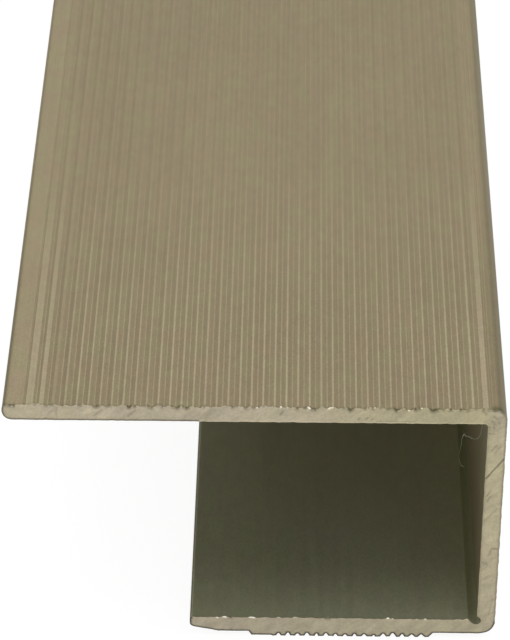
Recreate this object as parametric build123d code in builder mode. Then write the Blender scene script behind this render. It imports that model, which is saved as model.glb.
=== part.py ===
from build123d import *
import math
import os

# Board edge profile: one aluminium extrusion, sawn square at both ends.
# A long ribbed top flange, a web on the +X side and a shorter foot form a channel for a board's edge,
# and a serrated pad runs under the foot.
# X runs across the section, Y along the length and Z up. The origin is on the floor under the pad,
# at mid width of the top flange and at mid length.

# Overall sizes, in millimetres
length = 1000.0
top_width = 40.0  # tip of the top flange to the outer face of the web
foot_width = 25.4  # tip of the foot to the outer face of the web
board_gap = 21.0  # clear height of the channel
wall = 1.5

# Rounded corners of the section
top_corner_radius = 1.15  # outer corner of web and top flange
foot_corner_radius = 1.5  # outer corner of web and foot
channel_corner_radius = 0.2  # inner corner under the top flange
top_tip_radius = 0.25
under_tip_radius = 0.7
foot_tip_radius = 0.4  # lower edge of the foot's tip
foot_edge_radius = 0.25  # upper edge of the foot's tip

# Round relief along the lower inner corner, which lets a board's sharp edge seat
relief_radius = 0.4

# The foot's underside rises towards its tip, so that the profile slides onto a board
lead_in_length = 2.4
lead_in_rise = 0.55

# Fine lengthwise ribs of the top flange, pressed as flat-bottomed grooves
rib_pitch = 0.9215
groove_depth = 0.12
groove_floor = 0.06  # flat at the bottom of a groove
flank_angle = 18.0  # degrees from level
tip_band = 1.66  # plain band beside the flange's tip
corner_band = 0.03  # plain band beside the rounded outer corner
tip_shares = (0.25, 0.58, 0.80, 0.95)  # depth of the first grooves beside the tip band, as shares
corner_shares = (0.35, 0.85)  # the same beside the rounded corner, from the corner inwards

# Serrated pad under the foot
pad_height = 0.5
pad_setback = 4.9  # from the foot's tip
pad_inset = 5.1  # from the outer face of the web
pad_side_run = 0.4  # slope of the pad's two long sides
pad_land = 1.87  # plain strip on the tip side
notch_pitch = 0.795
notch_width = 0.46
notch_head = 0.1  # flat at the top of a notch
notch_depth = 0.28

# Places across the section
web_outer = top_width / 2
web_inner = web_outer - wall
top_tip = web_outer - top_width
foot_tip = web_outer - foot_width
pad_tip_side = foot_tip + pad_setback
pad_web_side = web_outer - pad_inset

# Heights
foot_under = pad_height
foot_top = foot_under + wall
top_under = foot_top + board_gap
top = top_under + wall

# Corners of the outline with their radii, clockwise from the tip of the top flange
foot_tip_height = wall - lead_in_rise
foot_tip_limit = 0.45 * foot_tip_height
corners = [
    ((top_tip, top), min(top_tip_radius, 0.3 * wall)),
    ((web_outer, top), top_corner_radius),
    ((web_outer, foot_under), foot_corner_radius),
    ((foot_tip + lead_in_length, foot_under), 0),
    ((foot_tip, foot_under + lead_in_rise), min(foot_tip_radius, foot_tip_limit)),
    ((foot_tip, foot_top), min(foot_edge_radius, foot_tip_limit)),
    ((web_inner, foot_top), 0),
    ((web_inner, top_under), channel_corner_radius),
    ((top_tip, top_under), min(under_tip_radius, 0.6 * wall)),
]
points, radii = zip(*corners)

# Rows of grooves and notches: as many as the flange and the pad have room for
flank_slope = math.tan(math.radians(flank_angle))


def groove_half_width(depth):
    return groove_floor / 2 + depth / flank_slope


first_groove = top_tip + tip_band + groove_half_width(tip_shares[0] * groove_depth)
last_groove_edge = web_outer - top_corner_radius - corner_band
last_groove_limit = last_groove_edge - groove_half_width(corner_shares[0] * groove_depth)
groove_count = 1 + int((last_groove_limit - first_groove) / rib_pitch)


def groove_share(index):
    from_corner = groove_count - 1 - index
    tip_share = tip_shares[index] if index < len(tip_shares) else 1
    corner_share = corner_shares[from_corner] if from_corner < len(corner_shares) else 1
    return min(tip_share, corner_share)


first_notch = pad_tip_side + pad_side_run + pad_land + notch_width / 2
last_notch_limit = pad_web_side - pad_side_run - notch_width / 2
notch_count = 1 + int((last_notch_limit - first_notch) / notch_pitch)

with BuildPart() as edge_profile:
    with BuildSketch(Plane.XZ):
        # Plain channel section
        with BuildLine():
            FilletPolyline(*points, radius=radii, close=True)
        make_face()

        # Pad under the foot
        with BuildLine():
            Polyline(
                (pad_tip_side, foot_under),
                (pad_web_side, foot_under),
                (pad_web_side - pad_side_run, 0),
                (pad_tip_side + pad_side_run, 0),
                close=True,
            )
        make_face()

        # Notches, cut upwards into the pad
        with Locations([(first_notch + index * notch_pitch, 0) for index in range(notch_count)]):
            Polygon(
                (-notch_width / 2, 0),
                (notch_width / 2, 0),
                (notch_head / 2, notch_depth),
                (-notch_head / 2, notch_depth),
                align=None,
                mode=Mode.SUBTRACT,
            )

        # Relief of the lower inner corner
        with Locations((web_inner, foot_top)):
            Circle(relief_radius, mode=Mode.SUBTRACT)

        # Grooves between the ribs, shallower towards both edges of the ribbed field
        for index in range(groove_count):
            depth = groove_depth * groove_share(index)
            half_width = groove_half_width(depth)
            with Locations((first_groove + index * rib_pitch, top)):
                Polygon(
                    (-half_width, 0),
                    (-groove_floor / 2, -depth),
                    (groove_floor / 2, -depth),
                    (half_width, 0),
                    align=None,
                    mode=Mode.SUBTRACT,
                )
    extrude(amount=length / 2, both=True)

os.makedirs("parts", exist_ok=True)
edge_profile.part.label = "edge_profile"
export_step(edge_profile.part, "parts/edge_profile.step")
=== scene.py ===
import math
import random
from collections import namedtuple

import bmesh
import bpy
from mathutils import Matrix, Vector, kdtree, noise
from mathutils.geometry import delaunay_2d_cdt


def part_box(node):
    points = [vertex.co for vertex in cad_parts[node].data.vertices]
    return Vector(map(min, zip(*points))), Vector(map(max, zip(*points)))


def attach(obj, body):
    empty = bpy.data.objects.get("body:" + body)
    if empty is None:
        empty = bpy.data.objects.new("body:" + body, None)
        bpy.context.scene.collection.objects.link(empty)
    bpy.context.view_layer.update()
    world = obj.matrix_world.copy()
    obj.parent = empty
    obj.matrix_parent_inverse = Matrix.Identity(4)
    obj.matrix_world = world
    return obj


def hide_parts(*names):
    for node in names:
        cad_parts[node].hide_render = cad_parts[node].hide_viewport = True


# Looks of a sawn length of aluminium edge profile, in the frame of its CAD model.
# X runs across the section, Y along the length, Z up. Section sizes are in millimetres.

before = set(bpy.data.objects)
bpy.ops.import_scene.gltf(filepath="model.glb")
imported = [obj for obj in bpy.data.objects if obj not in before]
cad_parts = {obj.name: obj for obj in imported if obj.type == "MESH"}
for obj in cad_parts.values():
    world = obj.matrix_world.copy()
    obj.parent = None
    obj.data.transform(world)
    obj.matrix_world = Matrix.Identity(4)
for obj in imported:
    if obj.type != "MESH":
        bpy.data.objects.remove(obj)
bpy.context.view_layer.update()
NODE = "edge_profile"
node_low, node_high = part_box(NODE)

MM = 0.001
FRONT = node_low.y / MM
BACK = node_high.y / MM

# Section of the profile
WEB_OUTER = node_high.x / MM
TOP_TIP = node_low.x / MM
TOP = node_high.z / MM
WALL = 1.5
FOOT_WIDTH = 25.4
PAD_HEIGHT = 0.5
WEB_INNER = WEB_OUTER - WALL
FOOT_TIP = WEB_OUTER - FOOT_WIDTH
FOOT_TOP = PAD_HEIGHT + WALL
TOP_UNDER = TOP - WALL

TOP_CORNER_RADIUS = 1.15
FOOT_CORNER_RADIUS = 1.3
CHANNEL_CORNER_RADIUS = 0.3
TOP_TIP_RADIUS = 0.4
UNDER_TIP_RADIUS = 0.8
FOOT_TIP_RADIUS = 0.4
FOOT_EDGE_RADIUS = 0.25
LEAD_IN_LENGTH = 2.4
LEAD_IN_RISE = 0.55
LEAD_IN_RADIUS = 0.3

# Relief of the lower inner corner: a slot at 45 degrees with a round end
RELIEF_RADIUS = 0.41
RELIEF_INSET = 0.07
RELIEF_START = math.radians(225)

# Ribbed field of the top flange
RIB_PITCH = 0.9215
GROOVE_DEPTH = 0.12
GROOVE_FLOOR = 0.06
FLANK_SLOPE = math.tan(math.radians(18))
FIRST_GROOVE = TOP_TIP + 1.782
GROOVE_COUNT = 41
TIP_SHARES = (0.25, 0.58, 0.80, 0.95)
CORNER_SHARES = (0.35, 0.85)
RIB_ROUNDING = 0.12

# Serrated pad under the foot
PAD_TIP_SIDE = FOOT_TIP + 4.9
PAD_WEB_SIDE = WEB_OUTER - 5.1
PAD_TIP_RUN = 0.24
PAD_WEB_RUN = 0.4
FIRST_NOTCH = PAD_TIP_SIDE + 2.5
NOTCH_PITCH = 0.795
NOTCH_COUNT = 16
NOTCH_HALF_WIDTH = 0.215
NOTCH_HALF_HEAD = 0.05
NOTCH_DEPTH = 0.28
NOTCH_VARIETY = 0.7
NOTCH_ROUNDING = 0.03
LAND_RISE = 0.08
LAND_END = FIRST_NOTCH - 0.53

# Mesh fineness
ARC_STEP = math.radians(9)
FINE_STEP = 0.06
PLAIN_STEP = 0.12
FACE_STEP = 0.09
FACE_JITTER = 0.2 * FACE_STEP
FACE_MARGIN = 0.05
MERGE_DISTANCE = 1e-7
INSIDE_ONLY = 1  # kind of triangulation that keeps what is inside the border
SHARP_ANGLE = math.radians(35)

# Limits that tell the places of the section apart
ON_FACE = 0.01
FACING = 0.7
FLANK_FACING = 0.16
BELOW_CREST = 0.002
FIELD_BOTTOM = TOP - 1.1 * GROOVE_DEPTH
TOP_SURFACE = TOP - 2 * GROOVE_DEPTH
FLANGE_BOTTOM = TOP_UNDER - 0.1
TIP_BAND_END = FIRST_GROOVE - 0.2
CORNER_START = WEB_OUTER - 1.1 * TOP_CORNER_RADIUS
UNDER_RIM_START = FOOT_TIP + 1
TOOTH_POINT = 0.02
PAD_TOP = PAD_HEIGHT - 0.05
SEAT_MARGIN = 0.5

# Unevenness from rib to rib and from notch to notch: stride through a noise, and a track for each use
NOISE_STRIDE = 1.7
NOTCH_WIDTH_TRACK = (0.4, 0.7)
NOTCH_DEPTH_TRACK = (0.7, 0.4)
CREST_TRACK = (0.6, 0.3)
FLOOR_TRACK = (0.3, 0.6)

# Slots of the profile's materials
ANODISED, SAWN, LIGHTENED_SEAT = range(3)

# Colours and tints, as linear red, green and blue
ANODISED_COLOUR = (0.277, 0.227, 0.131)
# Colour of the painted highlight on rib crests, and of painted shade where the tone is low
CREST_HIGHLIGHT_COLOUR = (0.277, 0.237, 0.149)
SHADE_COLOUR = (0.272, 0.241, 0.112)
# A lighter copy of the anodised colour for the foot's top and relief: painted light in the shaded channel
LIGHTENED_SEAT_COLOUR = (0.40, 0.41, 0.28)
GREEN_TINT = (0.993, 1.024, 0.993)
PINK_TINT = (1.007, 0.976, 1.007)
GLANCING_TINT = (1.0, 0.97, 0.87)
SAWN_YELLOW = (0.468, 0.420, 0.271)
SAWN_PINK = (0.465, 0.408, 0.309)
# Near-white colour of the painted highlights on flakes
GLINT_COLOUR = (0.95, 0.93, 0.88)
FIBRE_COLOUR = (0.70, 0.72, 0.60)
WHITE = (1.0, 1.0, 1.0)

# Grains of the anodised finish in millimetres along X, Y and Z, and how far they change its tone
DIE_LINES = (0.16, 60, 0.16)
CREST_WEAR = (0.5, 18, 0.5)
MOTTLE = (9, 14, 9)
SPECKLE = (0.6, 1.2, 0.6)
TINT_PATCHES = (1.5, 2.6, 1.5)
DUST_SPECKS = (0.15, 0.25, 0.15)
FINE_DETAIL = 3.0
MOTTLE_SPREAD = 0.03
SPECKLE_SPREAD = 0.05
DUST_SPREAD = 0.1
ANODISED_LINES = 0.045
SEAT_LINES = 0.02
ANODISED_METALLIC = 0.65
SEAT_METALLIC = 0.5
ANODISED_ROUGHNESS = (0.37, 0.46)
DIE_LINE_HEIGHT = 0.002
NOISE_SPAN = (0.25, 0.75)
TINT_SPAN = (0.38, 0.62)
SHADE_SPAN = (0.5, 0.8)

# The same for the sawn metal and the lint
SAW_LINES = (0.1, 3, 1.6)
SAW_BLOTCHES = (0.6, 3, 1.3)
SAWN_SPECKLE = (0.18, 3, 0.18)
SAWN_MOTTLE = (1.6, 3, 1.6)
SAW_LINE_SPREAD = 0.03
SAW_BLOTCH_SPREAD = 0.14
SAWN_SPECKLE_SPREAD = 0.1
SAWN_ROUGHNESS = (0.45, 0.55)
SAW_LINE_HEIGHT = 0.003
GLINT_SPAN = (1.3, 2.0)
FIBRE_GRAIN = (0.8, 0.8, 0.8)
FIBRE_SPREAD = 0.25
FIBRE_ROUGHNESS = 0.9

# Tone of the anodised surface, as shares of the plain one. Near the ends the ribs carry painted highlights
# on crests and painted shade on flanks
# Crests: painted highlight; flanks and the outermost grooves: painted shade; groove floors: a slight
# painted highlight
CREST_HIGHLIGHT_TONE = 1.14
TIP_CREST_HIGHLIGHT_TONES = (1.12, 1.12, 0.95, 1.06)
FLANK_SHADE_TONE = 0.86
GROOVE_FLOOR_LIGHT_TONE = 1.03
RIB_VARIETY = 0.06
EDGE_GROOVE_SHADE_TONE = 0.82
FIELD_TONE = 0.92
# Depths over which the ribs' painted light fades; beyond, it is slightly reversed as painted light that
# evens out the ribs' own shading
PAINTED_LIGHT_DEPTHS = (8, 34)
PAINTED_LIGHT_LEFT = -0.12
# Painted light that lifts the dark relief groove
RELIEF_LIGHT_TONE = 1.15
BAND_TONE = 0.95
# Painted shade on the rounded outer top corner, darkest on its side
CORNER_SHADE_TONE = 0.88
CORNER_SIDE_SHADE_TONE = 0.2
CORNER_FAR_SHARE = 0.4
# Painted shade along the tips of the top flange and the foot, darkest where they face sideways
TIP_SHADE_TONE = 0.6
TIP_SIDE_SHADE_TONE = 0.3
TIP_REACH = 0.56
TIP_FADE = 1.5
TIP_FAR_SHARE = 0.12
TIP_SIDE_FROM = 0.6
FOOT_SIDE_FROM = 0.2
# Painted light in the channel: across the foot's top, near the ends and far along
SEAT_PAINTED_LIGHT_TONES = (0.76, 1.11)
END_PAINTED_LIGHT_TONE = 1.19
DEEP_PAINTED_LIGHT_TONE = 1.14

# Sawn ends: a burr stands along each edge and dies out over these depths from the end
RING_DEPTHS = (0, 0.04, 0.09, 0.16, 0.26, 0.42, 0.7, *PAINTED_LIGHT_DEPTHS)
BURR_REACH = 0.06
# How far the painted shade behind a burr reaches
BURR_SHADE_REACH = 0.22
BURR_COARSE_SIZE = 0.55
BURR_FINE_SIZE = 0.17
BURR_MEAN = 0.15
BURR_COARSE = 0.8
BURR_FINE = 0.35
PAINTED_RIM_WIDTH = 0.2

# Kinds of sawn edge: the way its burr stands, the burr's height, the painted tone of its rim, and the
# painted shade behind its burr
UP = Vector((0, 1))
DOWN = Vector((0, -1))
ASIDE = Vector((-1, 0))
OUT = None  # straight out of the surface
Edge = namedtuple("Edge", "push burr rim shade")
# A rim tone below 1 is painted shade, a dark outline; above 1 it is a painted highlight along the burr
TOP_EDGE = Edge(UP, 0.26, 1.0, 0.84)
SEAT_EDGE = Edge(UP, 0.10, 1.0, 0.9)
UNDER_EDGE = Edge(DOWN, 0.05, 1.15, 1.0)
WEB_EDGE = Edge(ASIDE, 0.04, 0.8, 0.9)
CHANNEL_CORNER_EDGE = Edge(OUT, 0.02, 1.0, 1.0)
RELIEF_EDGE = Edge(OUT, 0.02, 0.9, 1.0)
OUTER_EDGE = Edge(OUT, 0.05, 0.62, 1.0)
TOOTH_EDGE = Edge(UP, 0.06, 0.05, 1.0)
PAD_EDGE = Edge(OUT, 0.02, 0.05, 1.0)
FLANGE_EDGE = Edge(OUT, 0.04, 0.3, 1.0)
PLAIN_EDGE = Edge(OUT, 0.04, 0.15, 1.0)

# Chips and raised flakes along the front end's edges, in millimetres across the section. A chip's dark tone
# is partly torn metal and partly painted shade; a flake's bright tone is a painted highlight
Mark = namedtuple("Mark", "across height half_width rise reach tone")
CHIPS = (
    Mark(-19.7, TOP, 0.30, -0.03, 0.35, 0.62),
    Mark(-16.5, TOP, 0.18, -0.08, 0.15, 0.70),
    Mark(-12.5, TOP, 0.36, -0.10, 0.20, 0.62),
    Mark(-9.9, TOP, 0.18, -0.22, 0.25, 0.58),
    Mark(-9.5, TOP, 0.14, -0.12, 0.18, 0.62),
    Mark(-7.6, TOP, 0.28, 0.02, 0.35, 0.66),
    Mark(-6.2, TOP, 0.14, -0.12, 0.18, 0.65),
    Mark(-5.3, TOP, 0.16, -0.12, 0.18, 0.62),
    Mark(-0.1, TOP, 0.20, -0.10, 0.20, 0.66),
    Mark(4.0, TOP, 0.16, -0.02, 0.45, 0.62),
    Mark(7.6, TOP, 0.34, -0.13, 0.22, 0.62),
    Mark(8.7, TOP, 0.14, -0.12, 0.20, 0.66),
    Mark(10.6, TOP, 0.26, -0.14, 0.22, 0.60),
    Mark(11.1, TOP, 0.22, -0.04, 0.30, 0.62),
    Mark(12.7, TOP, 0.14, -0.14, 0.22, 0.60),
    Mark(13.0, TOP, 0.18, 0.02, 0.65, 0.60),
    Mark(14.2, TOP, 0.40, -0.12, 0.22, 0.58),
    Mark(15.5, TOP, 0.12, -0.24, 0.12, 0.68),
    Mark(19.3, TOP, 0.75, -0.03, 0.60, 0.40),
    Mark(-2.0, FOOT_TOP, 0.16, -0.08, 0.25, 0.70),
    Mark(6.1, FOOT_TOP, 0.30, -0.08, 0.20, 0.75),
)
GLINTING_FLAKES = (
    Mark(0.2, TOP, 0.12, 0.10, 0.06, 1.7),
    Mark(2.1, TOP, 0.12, 0.16, 0.10, 2.2),
    Mark(2.6, TOP, 0.10, 0.10, 0.06, 1.5),
    Mark(4.3, TOP, 0.18, 0.08, 0.08, 2.3),
    Mark(6.0, TOP, 0.28, 0.06, 0.04, 1.7),
    Mark(9.5, TOP, 0.12, 0.10, 0.06, 1.5),
    Mark(12.2, TOP, 0.12, 0.10, 0.06, 1.8),
    Mark(13.2, TOP, 0.12, 0.10, 0.06, 1.7),
    Mark(-3.1, FOOT_TOP, 0.16, 0.05, 0.06, 1.8),
    Mark(-2.5, FOOT_TOP, 0.24, 0.10, 0.08, 2.1),
    Mark(-0.2, FOOT_TOP, 0.34, 0.08, 0.08, 2.0),
    Mark(2.0, FOOT_TOP, 0.20, 0.08, 0.05, 1.2),
    Mark(3.4, FOOT_TOP, 0.24, 0.10, 0.05, 1.2),
    Mark(11.1, FOOT_TOP, 0.16, 0.12, 0.08, 2.1),
    Mark(11.5, FOOT_TOP, 0.10, 0.08, 0.06, 1.6),
    Mark(13.5, FOOT_TOP, 0.12, 0.06, 0.06, 1.5),
    Mark(14.2, FOOT_TOP, 0.14, 0.10, 0.08, 1.9),
    Mark(17.6, FOOT_TOP, 0.20, 0.12, 0.12, 1.2),
)
MARK_BAND = 0.8
MARK_SHARPNESS = 1.5

# Smaller chips and flakes, scattered at random: the chips partly painted shade, the flakes painted
# highlights
FRONT_CHIP_COUNT = 45
FRONT_CHIP_FALL = 0.09
BACK_CHIP_COUNT = 60
BACK_CHIP_FALL = 0.2
CHIP_LEAST_FALL = 0.02
CHIP_ACROSS = (TOP_TIP + 0.5, WEB_OUTER - 1)
CHIP_HALF_WIDTHS = (0.06, 0.2)
CHIP_REACHES = (0.12, 0.35)
CHIP_TONE = 0.65
BACK_FLAKE_COUNT = 14
FLAKE_ACROSS = (FOOT_TIP + 1, WEB_OUTER - 2)
FLAKE_HALF_WIDTHS = (0.1, 0.3)
FLAKE_RISES = (0.05, 0.12)
FLAKE_REACH = 0.08
FLAKE_GLINT_TONE = 1.9

# Seeds of the random draws and of the burr's noise
FRONT_BURR_SEED = 1
BACK_BURR_SEED = 2
FRONT_FACE_SEED = 3
BACK_FACE_SEED = 4
FRONT_CHIP_SEED = 5
BACK_CHIP_SEED = 6
BACK_FLAKE_SEED = 7

# Strokes of the saw blade across the ends, as arcs round a far centre, and the front end's larger scratches
SAW_CENTRE = Vector((120, -85))
SAW_ANGLE = math.radians(52)
STROKE_COUNT = 160
STROKE_DEPTH = 0.010
STROKE_TONE = 0.09
STROKE_LEAST_WIDTH = 0.06
STROKE_MORE_WIDTH = 0.5
STROKE_HALF_LENGTHS = (0.4, 2.5)
STROKE_WIDTHS_ASIDE = 2
# A scratch tone above 1 is a painted highlight: beside a darker scratch on its lit side, and in two with no
# depth, on its own
Scratch = namedtuple("Scratch", "start end half_width depth tone")
SCRATCHES = (
    Scratch((18.6, 17.4), (20.0, 19.55), 0.085, 0.04, 0.38),
    Scratch((18.7, 15.5), (19.0, 16.1), 0.08, 0.02, 0.62),
    Scratch((18.8, 15.0), (19.0, 15.5), 0.08, 0.02, 0.62),
    Scratch((18.7, 12.9), (19.6, 14.2), 0.14, 0.01, 0.78),
    Scratch((19.35, 9.9), (19.8, 9.85), 0.08, 0.03, 0.52),
    Scratch((19.1, 9.1), (19.35, 9.8), 0.08, 0.02, 0.65),
    Scratch((18.56, 22.06), (18.78, 21.99), 0.09, 0.02, 0.68),
    Scratch((18.78, 21.99), (19.06, 21.98), 0.08, 0.02, 0.68),
    Scratch((18.91, 23.85), (19.21, 23.49), 0.1, 0.02, 0.74),
    Scratch((18.75, 23.35), (19.09, 22.94), 0.1, 0.02, 0.74),
    Scratch((18.60, 22.75), (18.72, 22.38), 0.08, 0.02, 0.72),
    Scratch((18.95, 22.94), (19.01, 22.39), 0.08, 0.02, 0.74),
    Scratch((19.32, 23.22), (19.40, 23.04), 0.08, 0.02, 0.74),
    Scratch((17.96, 24.3), (18.33, 24.12), 0.08, 0.02, 0.70),
    Scratch((18.11, 24.25), (18.34, 23.89), 0.08, 0.02, 0.74),
    Scratch((18.6, 24.1), (19.5, 23.9), 0.2, 0.0, 1.09),
    Scratch((19.7, 23.4), (19.75, 20.2), 0.22, 0.0, 1.08),
    Scratch((2.0, 23.7), (2.3, 24.15), 0.08, 0.02, 0.62),
    Scratch((-12.72, 23.47), (-12.06, 24.12), 0.08, 0.02, 0.74),
    Scratch((-12.23, 23.38), (-11.76, 23.93), 0.08, 0.01, 1.12),
    Scratch((-10.02, 23.45), (-9.4, 24.05), 0.09, 0.02, 0.74),
    Scratch((-15.7, 23.48), (-15.67, 24.31), 0.07, 0.01, 0.80),
    Scratch((9.67, 23.18), (12.7, 23.17), 0.07, 0.01, 0.75),
    Scratch((8.19, 23.35), (8.34, 23.5), 0.1, 0.02, 0.70),
    Scratch((8.82, 23.41), (8.98, 23.56), 0.1, 0.02, 0.70),
    Scratch((9.22, 23.26), (9.37, 23.41), 0.09, 0.02, 0.72),
    Scratch((18.85, 20.18), (19.29, 20.88), 0.1, 0.01, 0.78),
    Scratch((19.17, 20.05), (19.66, 20.73), 0.11, 0.01, 0.80),
    Scratch((18.69, 8.45), (18.87, 8.12), 0.09, 0.02, 0.70),
    Scratch((18.93, 8.4), (19.07, 8.18), 0.09, 0.02, 0.70),
    Scratch((18.61, 7.46), (19.12, 8.01), 0.09, 0.01, 0.80),
    Scratch((18.82, 6.47), (19.21, 6.92), 0.09, 0.01, 0.78),
    Scratch((19.58, 2.35), (19.85, 4.26), 0.08, 0.01, 1.10),
    Scratch((19.44, 2.58), (19.69, 4.37), 0.07, 0.01, 0.82),
)

# Slow changes over a sawn face: duller low down, painted shade in the outer top corner, yellower or pinker
# by place
SAWN_LOW_TONE = 0.88
SAWN_LOW_UP = (0, 13)
SAWN_CORNER_SHADE_TONE = 0.885
SAWN_CORNER_ACROSS = (0, 16)
SAWN_CORNER_UP = (21, 23)
YELLOW_ACROSS = (2, 14)
YELLOW_UP = (3, 22)
YELLOW_UP_SHARES = (0.4, 1.0)
PINK_ACROSS = (18.3, 19.2)
PINK_ACROSS_SHARES = (0.0, 0.6)
PINK_UP = (19, 23)
PINK_UP_SHARES = (0.2, 1.0)
PINK_MOTTLE_SHARES = (0.5, 1.0)

# Fibre of lint on the web's inner face and the foot
LINT_RADIUS = 0.042
LINT_ROUNDNESS = 1
LINT_ON_WEB = WEB_INNER - LINT_RADIUS
LINT_ON_FOOT = FOOT_TOP + LINT_RADIUS
LINT_LIFT = 0.06
# Its points: across, behind the front end, height, share of its thickness
LINT_ROUTE = (
    (LINT_ON_WEB, 4.6, 19.3, 0.7),
    (LINT_ON_WEB, 6.0, 17.5, 0.8),
    (LINT_ON_WEB, 6.5, 16.7, 0.8),
    (LINT_ON_WEB, 7.7, 15.4, 0.9),
    (LINT_ON_WEB, 10.0, 13.3, 1.0),
    (LINT_ON_WEB, 12.5, 11.2, 1.0),
    (LINT_ON_WEB, 15.6, 8.7, 0.9),
    (LINT_ON_WEB, 20.0, 5.3, 1.0),
    (LINT_ON_WEB - LINT_LIFT, 23.0, 2.9, 1.0),
    (18.25, 24.0, LINT_ON_FOOT + LINT_LIFT, 1.0),
    (18.13, 23.6, LINT_ON_FOOT, 0.9),
    (18.08, 23.1, LINT_ON_FOOT, 0.8),
    (17.99, 22.4, LINT_ON_FOOT, 0.7),
    (17.83, 21.7, LINT_ON_FOOT, 0.5),
    (17.78, 21.0, LINT_ON_FOOT, 0.4),
    (17.87, 20.2, LINT_ON_FOOT, 0.6),
    (17.98, 19.9, LINT_ON_FOOT, 0.7),
    (18.15, 19.8, LINT_ON_FOOT, 0.6),
)

# Camera: its place from the floor under the middle of the front end, and its angles in degrees
CAMERA_PLACE = (3.077, -192.192, 179.374)
CAMERA_DOWN = 37.263
CAMERA_TURN = 0.905
LENS = 175.88
SENSOR = 36.0
CLIP_START = 0.01

# Studio floor and light, in metres
FLOOR_SIZE = 30
FLOOR_DROP = 0.02 * MM
FLOOR_COLOUR = (0.16, 0.16, 0.16)
FLOOR_GLOW = 0.915
AMBIENT = 0.68
SIDE_SHARE = 0.45
SOFTBOX_HEIGHT = 1.6
SOFTBOX_WIDTH = 3.2
SOFTBOX_LENGTH = 3.2
SOFTBOX_FRONT = -0.93
SOFTBOX_RADIANCE = 0.89


def between(start, end, share):
    """The value that is this share of the way from start to end."""
    return start + (end - start) * share


def share_of(value, span):
    """How far a value is through a span, from 0 to 1."""
    start, end = span
    return min(1, max(0, (value - start) / (end - start)))


def unevenness(index, track):
    """A rib's or a notch's own noise, from -1 to 1."""
    return noise.noise(Vector((NOISE_STRIDE * index, *track)))


def groove_share(index):
    """Depth of a groove as a share of the full one: less beside the tip and the rounded corner."""
    from_corner = GROOVE_COUNT - 1 - index
    tip_share = TIP_SHARES[index] if index < len(TIP_SHARES) else 1
    corner_share = CORNER_SHARES[from_corner] if from_corner < len(CORNER_SHARES) else 1
    return min(tip_share, corner_share)


def groove_corners():
    """Corners of the ribbed field, from the tip of the top flange to the web."""
    corners = []
    for index in range(GROOVE_COUNT):
        depth = GROOVE_DEPTH * groove_share(index)
        middle = FIRST_GROOVE + index * RIB_PITCH
        half_floor = GROOVE_FLOOR / 2
        half_mouth = half_floor + depth / FLANK_SLOPE
        corners += [
            (middle - half_mouth, TOP, RIB_ROUNDING),
            (middle - half_floor, TOP - depth, RIB_ROUNDING),
            (middle + half_floor, TOP - depth, RIB_ROUNDING),
            (middle + half_mouth, TOP, RIB_ROUNDING),
        ]
    return corners


def notch_corners():
    """Corners of the serrated pad, from the web towards the foot's tip."""
    corners = [
        (PAD_WEB_SIDE, PAD_HEIGHT, NOTCH_ROUNDING),
        (PAD_WEB_SIDE - PAD_WEB_RUN, 0, NOTCH_ROUNDING),
    ]
    for index in reversed(range(NOTCH_COUNT)):
        middle = FIRST_NOTCH + index * NOTCH_PITCH
        half_width = NOTCH_HALF_WIDTH * (1 + NOTCH_VARIETY * unevenness(index, NOTCH_WIDTH_TRACK))
        depth = NOTCH_DEPTH * (1 + NOTCH_VARIETY * unevenness(index, NOTCH_DEPTH_TRACK))
        corners += [
            (middle + half_width, 0, NOTCH_ROUNDING),
            (middle + NOTCH_HALF_HEAD, depth, NOTCH_ROUNDING),
            (middle - NOTCH_HALF_HEAD, depth, NOTCH_ROUNDING),
            (middle - half_width, 0, NOTCH_ROUNDING),
        ]
    corners += [
        (LAND_END, 0, NOTCH_ROUNDING),
        (LAND_END - LAND_RISE, LAND_RISE, NOTCH_ROUNDING),
        (PAD_TIP_SIDE + PAD_TIP_RUN, LAND_RISE, NOTCH_ROUNDING),
        (PAD_TIP_SIDE, PAD_HEIGHT, NOTCH_ROUNDING),
    ]
    return corners


def relief_corners():
    """Points round the slanted relief of the lower inner corner, as corners that are already round."""
    mouth = math.sqrt(2) * RELIEF_RADIUS
    points = [(WEB_INNER - 2 * RELIEF_INSET - mouth, FOOT_TOP, 0)]
    steps = round(math.pi / ARC_STEP)
    for step in range(steps + 1):
        angle = RELIEF_START + math.pi * step / steps
        across = WEB_INNER - RELIEF_INSET + RELIEF_RADIUS * math.cos(angle)
        height = FOOT_TOP - RELIEF_INSET + RELIEF_RADIUS * math.sin(angle)
        points.append((across, height, 0))
    points.append((WEB_INNER, FOOT_TOP - 2 * RELIEF_INSET + mouth, 0))
    return points


def section_corners():
    """Every corner of the section with its radius, clockwise from the tip of the top flange."""
    return [
        (TOP_TIP, TOP, TOP_TIP_RADIUS),
        *groove_corners(),
        (WEB_OUTER, TOP, TOP_CORNER_RADIUS),
        (WEB_OUTER, PAD_HEIGHT, FOOT_CORNER_RADIUS),
        *notch_corners(),
        (FOOT_TIP + LEAD_IN_LENGTH, PAD_HEIGHT, LEAD_IN_RADIUS),
        (FOOT_TIP, PAD_HEIGHT + LEAD_IN_RISE, FOOT_TIP_RADIUS),
        (FOOT_TIP, FOOT_TOP, FOOT_EDGE_RADIUS),
        *relief_corners(),
        (WEB_INNER, TOP_UNDER, CHANNEL_CORNER_RADIUS),
        (TOP_TIP, TOP_UNDER, UNDER_TIP_RADIUS),
    ]


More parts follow.
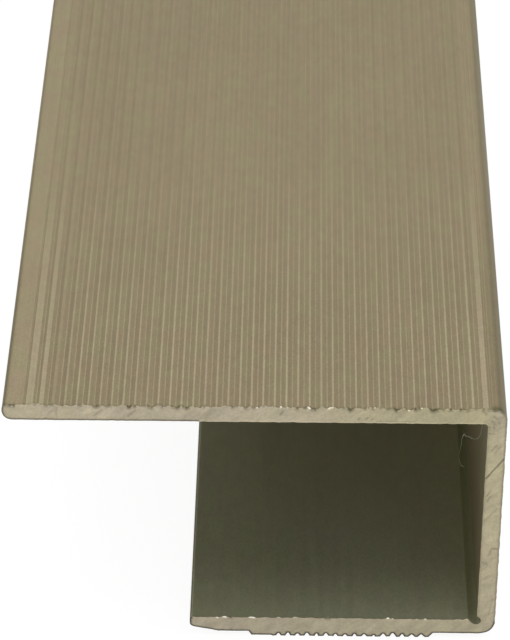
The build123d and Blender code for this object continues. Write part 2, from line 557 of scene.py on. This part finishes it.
def rounded(corners):
    """The outline through these corners, with each corner replaced by an arc of its radius."""
    outline = []
    for index, (across, height, radius) in enumerate(corners):
        corner = Vector((across, height))
        if radius == 0:
            outline.append(corner)
            continue
        before = (Vector(corners[index - 1][:2]) - corner).normalized()
        after = (Vector(corners[(index + 1) % len(corners)][:2]) - corner).normalized()
        half = before.angle(after) / 2
        centre = corner + (before + after).normalized() * (radius / math.sin(half))
        start = corner + before * (radius / math.tan(half)) - centre
        end = corner + after * (radius / math.tan(half)) - centre
        turn = start.angle_signed(end)
        steps = max(1, math.ceil(abs(turn) / ARC_STEP))
        for step in range(steps + 1):
            angle = -turn * step / steps
            spoke = Vector((
                start.x * math.cos(angle) - start.y * math.sin(angle),
                start.x * math.sin(angle) + start.y * math.cos(angle),
            ))
            outline.append(centre + spoke)
    return outline


def resampled(outline):
    """The same outline with its straight stretches cut into steps, finer along the two edges that show."""
    points = []
    for index, point in enumerate(outline):
        following = outline[(index + 1) % len(outline)]
        height = (point.y + following.y) / 2
        fine = height > TOP_SURFACE or abs(height - FOOT_TOP) < ON_FACE
        steps = max(1, math.ceil((following - point).length / (FINE_STEP if fine else PLAIN_STEP)))
        points += [point.lerp(following, step / steps) for step in range(steps)]
    return points


def outward(outline):
    """Outward direction at each point of a clockwise outline."""
    directions = []
    for index in range(len(outline)):
        along = outline[(index + 1) % len(outline)] - outline[index - 1]
        directions.append(Vector((-along.y, along.x)).normalized())
    return directions


def in_relief(point):
    """Whether a point of the section is on the relief of the lower inner corner."""
    across = point.x - WEB_INNER
    height = point.y - FOOT_TOP
    return math.hypot(across, height) < 2 * RELIEF_RADIUS and (across > ON_FACE or height < -ON_FACE)


def in_channel(point):
    """Whether a point of the section is on the foot's top or on the web's inner face."""
    on_foot = abs(point.y - FOOT_TOP) < ON_FACE and point.x < WEB_INNER
    return on_foot or abs(point.x - WEB_INNER) < ON_FACE


def rib_tone(point, normal, painted_light_and_dust):
    """Tone of the ribbed field at a point of the section: painted highlights on crests and groove floors,
    painted shade on flanks and outermost grooves.
    """
    place = (point.x - FIRST_GROOVE) / RIB_PITCH
    if point.y < FIELD_BOTTOM or not -0.5 < place < GROOVE_COUNT - 0.5:
        return 1.0
    in_groove = point.y < TOP - BELOW_CREST
    # Painted shade in the outermost grooves and on flanks, painted highlight on groove floors and crests
    if in_groove and not 0.5 < place < GROOVE_COUNT - 1.5:
        tone = EDGE_GROOVE_SHADE_TONE
    elif abs(normal.x) > FLANK_FACING:
        tone = FLANK_SHADE_TONE
    elif point.y < TOP - ON_FACE:
        tone = GROOVE_FLOOR_LIGHT_TONE + RIB_VARIETY * unevenness(round(place), FLOOR_TRACK)
    elif not 0 < place < GROOVE_COUNT - 1:
        return 1.0
    else:
        crest = int(place)
        tone = TIP_CREST_HIGHLIGHT_TONES[crest] if crest < len(TIP_CREST_HIGHLIGHT_TONES) else CREST_HIGHLIGHT_TONE
        tone += RIB_VARIETY * unevenness(crest, CREST_TRACK)
    return between(FIELD_TONE, tone, painted_light_and_dust)


def channel_tone(point, normal, depth):
    """Tone inside the channel, painted light: the foot's top darker towards its tip and lighter towards the
    web, and foot and web lighter near the ends and far along than at the first painted-light depth.
    """
    seat_light = between(*SEAT_PAINTED_LIGHT_TONES, (point.x - FOOT_TIP) / (WEB_INNER - FOOT_TIP))
    tone = seat_light if normal.y > FACING else 1
    if depth < PAINTED_LIGHT_DEPTHS[0]:
        return tone * END_PAINTED_LIGHT_TONE
    return tone * DEEP_PAINTED_LIGHT_TONE if depth == PAINTED_LIGHT_DEPTHS[-1] else tone


def tip_shade_tone(point, normal, depth, painted_light_and_dust):
    """Tone beside the tip of the top flange or the foot: painted shade, darkest on its side."""
    on_flange = point.y > FLANGE_BOTTOM
    from_tip = point.x - (TOP_TIP if on_flange else FOOT_TIP)
    strength = between(TIP_FAR_SHARE, 1, painted_light_and_dust) if on_flange else 1
    side_from = TIP_SIDE_FROM if on_flange else FOOT_SIDE_FROM
    side = between(1, TIP_SIDE_SHADE_TONE, strength * share_of(-normal.x, (side_from, 1)))
    if not on_flange and normal.y > FACING:
        return channel_tone(point, normal, depth) * side
    band = between(1, TIP_SHADE_TONE, strength * (1 - from_tip / TIP_REACH) ** TIP_FADE)
    plain = BAND_TONE if point.y > TOP - TOP_TIP_RADIUS else 1.0
    return plain * band * side


def form_tone(point, normal, depth, painted_light_and_dust):
    """Tone of the section's forms, apart from its ribs: painted light in the relief and the channel,
    painted shade at the tips and the rounded outer corner.
    """
    # Painted light in the relief groove
    if in_relief(point):
        return RELIEF_LIGHT_TONE
    if point.x < (TOP_TIP if point.y > FLANGE_BOTTOM else FOOT_TIP) + TIP_REACH:
        return tip_shade_tone(point, normal, depth, painted_light_and_dust)
    if in_channel(point):
        return channel_tone(point, normal, depth)
    # Painted shade on the rounded outer corner
    if point.y > TOP - TOP_CORNER_RADIUS and point.x > CORNER_START:
        tone = between(1, CORNER_SHADE_TONE, between(CORNER_FAR_SHARE, 1, painted_light_and_dust))
        return between(tone, CORNER_SIDE_SHADE_TONE, share_of(normal.x, (FACING, 1)))
    return BAND_TONE if point.y > TOP - ON_FACE and point.x < TIP_BAND_END else 1.0


def edge_at(point, normal):
    """The kind of sawn edge at a point of the section."""
    if normal.y > FACING and point.y > TOP_SURFACE:
        return TOP_EDGE
    if normal.y > FACING and abs(point.y - FOOT_TOP) < ON_FACE:
        return SEAT_EDGE
    if normal.y < -FACING and abs(point.y - TOP_UNDER) < ON_FACE and point.x > UNDER_RIM_START:
        return UNDER_EDGE
    if normal.x < -FACING and abs(point.x - WEB_INNER) < ON_FACE:
        return WEB_EDGE
    if max(abs(point.x - WEB_INNER), abs(point.y - TOP_UNDER)) < CHANNEL_CORNER_RADIUS:
        return CHANNEL_CORNER_EDGE
    if in_relief(point):
        return RELIEF_EDGE
    if normal.x > FACING and point.y > PAD_HEIGHT + FOOT_CORNER_RADIUS:
        return OUTER_EDGE
    if normal.y < -FACING and point.y < TOOTH_POINT:
        return TOOTH_EDGE
    if point.y < PAD_TOP:
        return PAD_EDGE
    return FLANGE_EDGE if point.y > FLANGE_BOTTOM else PLAIN_EDGE


def burr_share(point, seed):
    """Height of the burr along a sawn edge, as a share of its most."""
    coarse = noise.noise(Vector((point.x, point.y, 0)) / BURR_COARSE_SIZE + Vector((0, 0, seed)))
    fine = noise.noise(Vector((point.x, point.y, 0)) / BURR_FINE_SIZE + Vector((0, 0, seed)))
    return BURR_MEAN + BURR_COARSE * coarse + BURR_FINE * fine


def painted_light_and_dust_at(depth):
    """How much of the painted light the ribs, tips and outer corner carry at a depth behind an end, and
    whether dust specks show: 1 near it, below 0 far along, where painted light evens out the ribs' own
    shading.
    """
    return PAINTED_LIGHT_LEFT if depth == PAINTED_LIGHT_DEPTHS[-1] else 1


def sawn_ring(outline, normals, depth, marks, seed):
    """Places and tones of the section at a depth behind a sawn end, with its burrs, chips and flakes, its
    painted rim and the painted shade behind the burr.
    """
    painted_light_and_dust = painted_light_and_dust_at(depth)
    burr_left = math.exp(-((depth / BURR_REACH) ** 2))
    shade_left = math.exp(-((depth / BURR_SHADE_REACH) ** 2))
    ring = []
    for point, normal in zip(outline, normals):
        edge = edge_at(point, normal)
        rise = edge.burr * burr_share(point, seed) * burr_left
        tone = form_tone(point, normal, depth, painted_light_and_dust) * rib_tone(point, normal, painted_light_and_dust)
        # Painted shade behind the burr, and the painted rim at the end itself
        tone *= between(1, edge.shade, shade_left)
        if depth == 0:
            tone = edge.rim
        for mark in marks:
            aside = (point.x - mark.across) / mark.half_width
            away = (point.y - mark.height) / MARK_BAND
            nearness = 1 - aside * aside - away * away
            if nearness <= 0 or depth >= mark.reach:
                continue
            weight = nearness * (1 - depth / mark.reach)
            rise += mark.rise * weight
            tone = between(tone, mark.tone, min(1, MARK_SHARPNESS * weight))
        push = normal if edge.push is OUT else edge.push
        ring.append((point + push * rise, tone))
    return ring


def random_chips(count, deepest, seed):
    """Small chips scattered along the top edge of an end, darkened partly as torn metal and partly as
    painted shade.
    """
    draw = random.Random(seed)
    chips = []
    for _ in range(count):
        across = draw.uniform(*CHIP_ACROSS)
        fall = -draw.uniform(CHIP_LEAST_FALL, deepest)
        half_width = draw.uniform(*CHIP_HALF_WIDTHS)
        reach = draw.uniform(*CHIP_REACHES)
        chips.append(Mark(across, TOP, half_width, fall, reach, CHIP_TONE))
    return chips


def random_glinting_flakes(count, seed):
    """Raised torn flakes with painted highlights, scattered along the top edges of flange and foot at an
    end.
    """
    draw = random.Random(seed)
    flakes = []
    for _ in range(count):
        height = draw.choice((TOP, FOOT_TOP))
        across = draw.uniform(*FLAKE_ACROSS)
        half_width = draw.uniform(*FLAKE_HALF_WIDTHS)
        rise = draw.uniform(*FLAKE_RISES)
        flakes.append(Mark(across, height, half_width, rise, FLAKE_REACH, FLAKE_GLINT_TONE))
    return flakes


def search_tree(points):
    """A tree that finds the points of the section near a place."""
    tree = kdtree.KDTree(len(points))
    for index, point in enumerate(points):
        tree.insert((point.x, point.y, 0), index)
    tree.balance()
    return tree


def face_points(ring, normals, seed):
    """A loose triangular grid of points inside a sawn face, and the painted rim tone that the edge spreads
    onto each.
    """
    tree = search_tree([point for point, tone in ring])
    draw = random.Random(seed)
    row_step = FACE_STEP * math.sqrt(3) / 2
    points = []
    painted_rims = []
    for row in range(math.ceil(TOP / row_step)):
        for column in range(math.ceil((WEB_OUTER - TOP_TIP) / FACE_STEP)):
            across = TOP_TIP + (column + row % 2 / 2) * FACE_STEP
            height = row * row_step
            in_foot = height < FOOT_TOP and across > FOOT_TIP
            if not (in_foot or across > WEB_INNER or height > TOP_UNDER):
                continue
            point = Vector((across, height))
            point += Vector((draw.uniform(-1, 1), draw.uniform(-1, 1))) * FACE_JITTER
            nearest, index, distance = tree.find((point.x, point.y, 0))
            if distance > FACE_MARGIN and (point - nearest.xy).dot(normals[index]) < 0:
                points.append(point)
                painted_rims.append(between(1, ring[index][1], max(0, 1 - (distance / PAINTED_RIM_WIDTH) ** 2)))
    return points, painted_rims


def along_stroke(point):
    """A point of the sawn face as its distance from the saw's centre and its travel round it."""
    spoke = point - SAW_CENTRE
    return spoke.length, math.atan2(spoke.y, spoke.x) * SAW_CENTRE.length


def saw_strokes(points, seed):
    """Depth and tone at each point from the long shallow strokes of the blade."""
    draw = random.Random(seed)
    travels = [along_stroke(point) for point in points]
    tree = search_tree(points)
    depths = [0.0] * len(points)
    tones = [1.0] * len(points)
    for _ in range(STROKE_COUNT):
        middle = draw.randrange(len(points))
        width = STROKE_LEAST_WIDTH + STROKE_MORE_WIDTH * draw.random() ** 3
        half_length = draw.uniform(*STROKE_HALF_LENGTHS)
        strength = draw.uniform(-1, 1)
        centre = points[middle]
        for _, index, _ in tree.find_range((centre.x, centre.y, 0), half_length):
            aside = (travels[index][0] - travels[middle][0]) / width
            along = (travels[index][1] - travels[middle][1]) / half_length
            if abs(aside) < STROKE_WIDTHS_ASIDE and abs(along) < 1:
                weight = math.exp(-aside * aside) * (1 - along * along)
                depths[index] += STROKE_DEPTH * strength * weight
                tones[index] -= STROKE_TONE * strength * weight
    return depths, tones


def scratch_weight(point, scratch):
    """How much of a scratch is at a point: 1 along its middle, 0 outside it."""
    start = Vector(scratch.start)
    run = Vector(scratch.end) - start
    share = min(1, max(0, (point - start).dot(run) / run.length_squared))
    aside = (point - start - run * share).length / scratch.half_width
    return max(0, 1 - aside * aside)


def sawn_tone(point):
    """Slow change of tone over a sawn face: duller low down, and painted shade in the outer top corner."""
    low_tone = between(SAWN_LOW_TONE, 1, share_of(point.y, SAWN_LOW_UP))
    in_corner = share_of(point.x, SAWN_CORNER_ACROSS) * share_of(point.y, SAWN_CORNER_UP)
    return low_tone * between(1, SAWN_CORNER_SHADE_TONE, in_corner)


def add_sawn_face(mesh, ring, ring_verts, normals, y, inward, scratches, seed):
    """Close an end with a face that carries the saw's strokes and scratches."""
    tone_layer = mesh.verts.layers.float["tone"]
    points, painted_rims = face_points(ring, normals, seed)
    depths, tones = saw_strokes(points, seed)
    verts = list(ring_verts)
    for point, rim, depth, tone in zip(points, painted_rims, depths, tones):
        for scratch in scratches:
            weight = scratch_weight(point, scratch)
            depth += scratch.depth * weight
            tone = between(tone, scratch.tone, weight)
        vert = mesh.verts.new((point.x * MM, (y + inward * depth) * MM, point.y * MM))
        vert[tone_layer] = tone * sawn_tone(point) * rim
        verts.append(vert)
    places = [point for point, tone in ring] + points
    border = list(range(len(ring)))
    found = delaunay_2d_cdt(places, [], [border], INSIDE_ONLY, MERGE_DISTANCE)
    _, _, triangles, origins, _, _ = found
    for triangle in triangles:
        face = mesh.faces.new([verts[origins[corner][0]] for corner in triangle])
        face.material_index = SAWN


def make_stations():
    """Where the section stands: place along Y, depth behind an end, and that end's marks and seed."""
    front_marks = [*random_chips(FRONT_CHIP_COUNT, FRONT_CHIP_FALL, FRONT_CHIP_SEED), *CHIPS, *GLINTING_FLAKES]
    back_marks = random_chips(BACK_CHIP_COUNT, BACK_CHIP_FALL, BACK_CHIP_SEED)
    back_marks += random_glinting_flakes(BACK_FLAKE_COUNT, BACK_FLAKE_SEED)
    front = [(FRONT + depth, depth, front_marks, FRONT_BURR_SEED) for depth in RING_DEPTHS]
    back = [(BACK - depth, depth, back_marks, BACK_BURR_SEED) for depth in reversed(RING_DEPTHS)]
    return front + back


def add_ring(mesh, ring, y, painted_light_and_dust):
    """Vertices of the section at a place along the profile, which carry its tone, painted light included,
    and its share of painted light and dust specks.
    """
    tone_layer = mesh.verts.layers.float["tone"]
    painted_light_and_dust_layer = mesh.verts.layers.float["painted_light_and_dust"]
    verts = []
    for point, tone in ring:
        vert = mesh.verts.new((point.x * MM, y * MM, point.y * MM))
        vert[tone_layer] = tone
        vert[painted_light_and_dust_layer] = painted_light_and_dust
        verts.append(vert)
    return verts


def add_long_faces(mesh, outline, ring_verts):
    """Skin the profile from ring to ring: torn metal at the very ends, else the lightened seat finish,
    painted light, on the foot's top and relief, or the anodised finish.
    """
    count = len(outline)
    last = len(ring_verts) - 2
    for station in range(last + 1):
        front, back = ring_verts[station], ring_verts[station + 1]
        torn = station in (0, last)
        for index in range(count):
            following = (index + 1) % count
            face = mesh.faces.new((front[index], back[index], back[following], front[following]))
            middle = (outline[index] + outline[following]) / 2
            on_foot = abs(middle.y - FOOT_TOP) < SEAT_MARGIN and middle.x < WEB_INNER + RELIEF_RADIUS
            face.material_index = SAWN if torn else (LIGHTENED_SEAT if on_foot else ANODISED)


def make_profile():
    """The profile as one closed mesh: long faces, and two sawn ends with burrs, chips and saw strokes."""
    outline = resampled(rounded(section_corners()))
    normals = outward(outline)
    mesh = bmesh.new()
    mesh.verts.layers.float.new("tone")
    mesh.verts.layers.float.new("painted_light_and_dust")
    rings = []
    ring_verts = []
    for y, depth, marks, seed in make_stations():
        ring = sawn_ring(outline, normals, depth, marks, seed)
        rings.append(ring)
        ring_verts.append(add_ring(mesh, ring, y, painted_light_and_dust_at(depth)))
    add_long_faces(mesh, outline, ring_verts)
    add_sawn_face(mesh, rings[0], ring_verts[0], normals, FRONT, 1, SCRATCHES, FRONT_FACE_SEED)
    add_sawn_face(mesh, rings[-1], ring_verts[-1], normals, BACK, -1, (), BACK_FACE_SEED)
    bmesh.ops.recalc_face_normals(mesh, faces=mesh.faces)
    for face in mesh.faces:
        face.smooth = True
    data = bpy.data.meshes.new("profile")
    mesh.to_mesh(data)
    mesh.free()
    data.set_sharp_from_angle(angle=SHARP_ANGLE)
    profile = bpy.data.objects.new("profile", data)
    bpy.context.scene.collection.objects.link(profile)
    return profile


def new_material(name):
    """A material with its node tree and its main shader."""
    material = bpy.data.materials.new(name)
    material.use_nodes = True
    return material, material.node_tree, material.node_tree.nodes["Principled BSDF"]


def feed(tree, source, socket):
    """Set a socket to a plain number or colour, or link it where the source is a node's output."""
    if isinstance(source, float):
        socket.default_value = source
    elif isinstance(source, tuple):
        socket.default_value = (*source, 1) if socket.type == "RGBA" else source
    else:
        tree.links.new(source, socket)


def axes_of(tree, space):
    """X, Y and Z of a point in one of the texture coordinates' spaces."""
    place = tree.nodes.new("ShaderNodeTexCoord")
    axes = tree.nodes.new("ShaderNodeSeparateXYZ")
    tree.links.new(place.outputs[space], axes.inputs["Vector"])
    return axes.outputs["X"], axes.outputs["Y"], axes.outputs["Z"]


def grain(tree, size, turn=0.0, detail=2.0):
    """Noise whose grains have this size in millimetres along X, Y and Z, turned about Y."""
    place = tree.nodes.new("ShaderNodeTexCoord")
    mapping = tree.nodes.new("ShaderNodeMapping")
    mapping.vector_type = "TEXTURE"
    mapping.inputs["Rotation"].default_value = (0, turn, 0)
    mapping.inputs["Scale"].default_value = [length * MM for length in size]
    field = tree.nodes.new("ShaderNodeTexNoise")
    field.inputs["Scale"].default_value = 1
    field.inputs["Detail"].default_value = detail
    tree.links.new(place.outputs["Object"], mapping.inputs["Vector"])
    tree.links.new(mapping.outputs["Vector"], field.inputs["Vector"])
    return field.outputs["Fac"]


def ranged(tree, value, levels, span=NOISE_SPAN):
    """A value, by default a noise, spread from its span to two levels."""
    spread = tree.nodes.new("ShaderNodeMapRange")
    spread.inputs["From Min"].default_value, spread.inputs["From Max"].default_value = span
    spread.inputs["To Min"].default_value, spread.inputs["To Max"].default_value = levels
    tree.links.new(value, spread.inputs["Value"])
    return spread.outputs["Result"]


def through(tree, place, span, levels=(0, 1)):
    """A place along an axis spread to two levels, over a span in millimetres."""
    start, end = span
    return ranged(tree, place, levels, (start * MM, end * MM))


def combined(tree, operation, first, second):
    """Two values joined by a math operation."""
    join = tree.nodes.new("ShaderNodeMath")
    join.operation = operation
    feed(tree, first, join.inputs[0])
    feed(tree, second, join.inputs[1])
    return join.outputs[0]


def product(tree, first, second):
    """Two values multiplied."""
    return combined(tree, "MULTIPLY", first, second)


def varied(tree, tone, field, spread):
    """A tone made uneven by a noise, by up to this spread both ways."""
    return product(tree, tone, ranged(tree, field, (1 - spread, 1 + spread)))


def carried(tree, name):
    """The tone or the share of painted light and dust specks that the mesh carries at each point."""
    attribute = tree.nodes.new("ShaderNodeAttribute")
    attribute.attribute_name = name
    return attribute.outputs["Fac"]


def mixed(tree, share, first, second):
    """A colour that turns from one into the other as a share goes from 0 to 1."""
    mix = tree.nodes.new("ShaderNodeMix")
    mix.data_type = "RGBA"
    sockets = [socket for socket in mix.inputs if socket.type == "RGBA"]
    feed(tree, first, sockets[0])
    feed(tree, second, sockets[1])
    tree.links.new(share, mix.inputs["Factor"])
    return [socket for socket in mix.outputs if socket.type == "RGBA"][0]


def toned(tree, colour, tone):
    """A colour times a tone."""
    scale = tree.nodes.new("ShaderNodeVectorMath")
    scale.operation = "SCALE"
    feed(tree, colour, scale.inputs[0])
    tree.links.new(tone, scale.inputs["Scale"])
    return scale.outputs["Vector"]


def tinted(tree, colour, tint):
    """Two colours multiplied."""
    multiply = tree.nodes.new("ShaderNodeVectorMath")
    multiply.operation = "MULTIPLY"
    feed(tree, colour, multiply.inputs[0])
    feed(tree, tint, multiply.inputs[1])
    return multiply.outputs["Vector"]


def relief(tree, shader, height, distance):
    """Fine relief from a height, of this distance in millimetres."""
    bump = tree.nodes.new("ShaderNodeBump")
    bump.inputs["Distance"].default_value = distance * MM
    tree.links.new(height, bump.inputs["Height"])
    tree.links.new(bump.outputs["Normal"], shader.inputs["Normal"])


def make_anodised(name, colour, highlight_colour, metallic, lines):
    """Satin anodised finish, greyer where the tone carries a painted crest highlight and olive where it
    carries painted shade: lengthwise lines of this strength, and a faint mottle.
    """
    material, tree, shader = new_material(name)
    die_lines = grain(tree, DIE_LINES)
    crest_wear = grain(tree, CREST_WEAR)
    tone = varied(tree, carried(tree, "tone"), die_lines, lines)
    tone = varied(tree, tone, crest_wear, lines)
    tone = varied(tree, tone, grain(tree, MOTTLE, detail=FINE_DETAIL), MOTTLE_SPREAD)
    tone = varied(tree, tone, grain(tree, SPECKLE, detail=FINE_DETAIL), SPECKLE_SPREAD)
    # The tone picks the painted crest highlight colour and the painted shade colour
    highlight_share = ranged(tree, carried(tree, "tone"), (0, 1), (FLANK_SHADE_TONE, CREST_HIGHLIGHT_TONE))
    shade_share = ranged(tree, carried(tree, "tone"), (1, 0), SHADE_SPAN)
    patches = ranged(tree, grain(tree, TINT_PATCHES), (0, 1), TINT_SPAN)
    dust = ranged(tree, grain(tree, DUST_SPECKS), (1 - DUST_SPREAD, 1 + DUST_SPREAD))
    base = mixed(tree, shade_share, mixed(tree, highlight_share, colour, highlight_colour), SHADE_COLOUR)
    base = tinted(tree, base, mixed(tree, patches, GREEN_TINT, PINK_TINT))
    base = tinted(tree, base, mixed(tree, carried(tree, "painted_light_and_dust"), WHITE, dust))
    tree.links.new(toned(tree, base, tone), shader.inputs["Base Color"])
    shader.inputs["Metallic"].default_value = metallic
    shader.inputs["Specular Tint"].default_value = (*GLANCING_TINT, 1)
    tree.links.new(ranged(tree, crest_wear, ANODISED_ROUGHNESS), shader.inputs["Roughness"])
    relief(tree, shader, die_lines, DIE_LINE_HEIGHT)
    return material


def sawn_colour(tree):
    """Colour of bare sawn metal: yellower towards the outer top, pinker in the outer top corner."""
    across, _, up = axes_of(tree, "Object")
    yellow_across = through(tree, across, YELLOW_ACROSS)
    yellow = product(tree, yellow_across, through(tree, up, YELLOW_UP, YELLOW_UP_SHARES))
    pink_across = through(tree, across, PINK_ACROSS, PINK_ACROSS_SHARES)
    pink = product(tree, pink_across, through(tree, up, PINK_UP, PINK_UP_SHARES))
    mottle = ranged(tree, grain(tree, SAWN_MOTTLE), PINK_MOTTLE_SHARES)
    metal = mixed(tree, yellow, mixed(tree, mottle, SAWN_YELLOW, SAWN_PINK), SAWN_YELLOW)
    return mixed(tree, pink, metal, SAWN_PINK)


def make_sawn_metal():
    """Bare aluminium as a saw leaves it: blotchy, with faint slanting strokes, and near-white painted
    highlights where the tone marks flakes.
    """
    material, tree, shader = new_material("sawn_aluminium")
    strokes = grain(tree, SAW_LINES, SAW_ANGLE)
    blotches = grain(tree, SAW_BLOTCHES, SAW_ANGLE)
    tone = varied(tree, carried(tree, "tone"), strokes, SAW_LINE_SPREAD)
    tone = varied(tree, tone, blotches, SAW_BLOTCH_SPREAD)
    tone = varied(tree, tone, grain(tree, SAWN_SPECKLE), SAWN_SPECKLE_SPREAD)
    metal = toned(tree, sawn_colour(tree), tone)
    # Painted highlight: tones through this span turn the metal near-white
    torn = ranged(tree, carried(tree, "tone"), (0, 1), GLINT_SPAN)
    tree.links.new(mixed(tree, torn, metal, GLINT_COLOUR), shader.inputs["Base Color"])
    shader.inputs["Metallic"].default_value = 1
    tree.links.new(ranged(tree, blotches, SAWN_ROUGHNESS), shader.inputs["Roughness"])
    relief(tree, shader, strokes, SAW_LINE_HEIGHT)
    return material


def make_lint():
    """A fine fibre of lint that clings to the inside of the web and trails onto the foot."""
    curve = bpy.data.curves.new("lint_route", "CURVE")
    curve.dimensions = "3D"
    curve.bevel_depth = LINT_RADIUS * MM
    curve.bevel_resolution = LINT_ROUNDNESS
    curve.use_fill_caps = True
    spline = curve.splines.new("BEZIER")
    spline.bezier_points.add(len(LINT_ROUTE) - 1)
    for point, (across, behind, height, thickness) in zip(spline.bezier_points, LINT_ROUTE):
        point.co = Vector((across, FRONT + behind, height)) * MM
        point.radius = thickness
        point.handle_left_type = "AUTO"
        point.handle_right_type = "AUTO"
    route = bpy.data.objects.new("lint_route", curve)
    lint = bpy.data.objects.new("lint", bpy.data.meshes.new_from_object(route))
    bpy.data.objects.remove(route)
    bpy.context.scene.collection.objects.link(lint)
    return lint


def make_fibre():
    """Pale matt textile fibre, a little uneven along its length."""
    material, tree, shader = new_material("lint_fibre")
    tone = ranged(tree, grain(tree, FIBRE_GRAIN), (1 - FIBRE_SPREAD, 1 + FIBRE_SPREAD))
    tree.links.new(toned(tree, FIBRE_COLOUR, tone), shader.inputs["Base Color"])
    shader.inputs["Roughness"].default_value = FIBRE_ROUGHNESS
    return material


def make_floor_material():
    """A pale floor that is white to the camera and in reflections, and still takes the shadow."""
    material = bpy.data.materials.new("floor")
    material.use_nodes = True
    tree = material.node_tree
    tree.nodes.clear()
    output = tree.nodes.new("ShaderNodeOutputMaterial")
    add = tree.nodes.new("ShaderNodeAddShader")
    diffuse = tree.nodes.new("ShaderNodeBsdfDiffuse")
    emission = tree.nodes.new("ShaderNodeEmission")
    path = tree.nodes.new("ShaderNodeLightPath")
    seen = combined(tree, "MAXIMUM", path.outputs["Is Camera Ray"], path.outputs["Is Glossy Ray"])
    seen = combined(tree, "MAXIMUM", seen, path.outputs["Is Transmission Ray"])
    diffuse.inputs["Color"].default_value = (*FLOOR_COLOUR, 1)
    tree.links.new(product(tree, seen, FLOOR_GLOW), emission.inputs["Strength"])
    tree.links.new(diffuse.outputs[0], add.inputs[0])
    tree.links.new(emission.outputs[0], add.inputs[1])
    tree.links.new(add.outputs[0], output.inputs["Surface"])
    return material


def make_floor():
    """A plain floor just under the profile."""
    bpy.ops.mesh.primitive_plane_add(size=FLOOR_SIZE, location=(0, 0, -FLOOR_DROP))
    floor = bpy.context.object
    floor.name = "floor"
    floor.data.materials.append(make_floor_material())


def make_world():
    """An even white room that is darker to both sides."""
    world = bpy.data.worlds.new("studio")
    bpy.context.scene.world = world
    world.use_nodes = True
    tree = world.node_tree
    background = tree.nodes["Background"]
    background.inputs["Color"].default_value = (*WHITE, 1)
    across, _, _ = axes_of(tree, "Generated")
    sideways = product(tree, across, across)
    strength = ranged(tree, sideways, (AMBIENT, AMBIENT * SIDE_SHARE), (0, 1))
    tree.links.new(strength, background.inputs["Strength"])


def make_softbox():
    """A wide soft light above the profile, mostly behind its front end."""
    data = bpy.data.lights.new("softbox", "AREA")
    data.shape = "RECTANGLE"
    data.size = SOFTBOX_WIDTH
    data.size_y = SOFTBOX_LENGTH
    data.energy = SOFTBOX_RADIANCE * math.pi * SOFTBOX_WIDTH * SOFTBOX_LENGTH
    softbox = bpy.data.objects.new("softbox", data)
    softbox.location = (0, SOFTBOX_FRONT + SOFTBOX_LENGTH / 2, SOFTBOX_HEIGHT)
    softbox.visible_camera = False
    bpy.context.scene.collection.objects.link(softbox)


def make_camera():
    """The photograph's view: from above, onto the front end."""
    data = bpy.data.cameras.new("camera")
    data.lens = LENS
    data.sensor_width = SENSOR
    data.clip_start = CLIP_START
    camera = bpy.data.objects.new("camera", data)
    place = Vector(CAMERA_PLACE) + Vector((0, FRONT, 0))
    camera.location = place * MM
    camera.rotation_euler = (math.radians(90 - CAMERA_DOWN), 0, math.radians(CAMERA_TURN))
    bpy.context.scene.collection.objects.link(camera)
    bpy.context.scene.camera = camera


profile = make_profile()
for material in (
    make_anodised("anodised_aluminium", ANODISED_COLOUR, CREST_HIGHLIGHT_COLOUR, ANODISED_METALLIC, ANODISED_LINES),
    make_sawn_metal(),
    # The seat's finish: a lighter copy of the anodised one, painted light in the channel
    make_anodised("lightened_seat_aluminium", LIGHTENED_SEAT_COLOUR, LIGHTENED_SEAT_COLOUR, SEAT_METALLIC, SEAT_LINES),
):
    profile.data.materials.append(material)
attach(profile, "root")
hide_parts(NODE)

lint = make_lint()
lint.data.materials.append(make_fibre())
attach(lint, "root")

make_floor()
make_world()
make_softbox()
make_camera()
bpy.context.scene.view_settings.view_transform = "Standard"
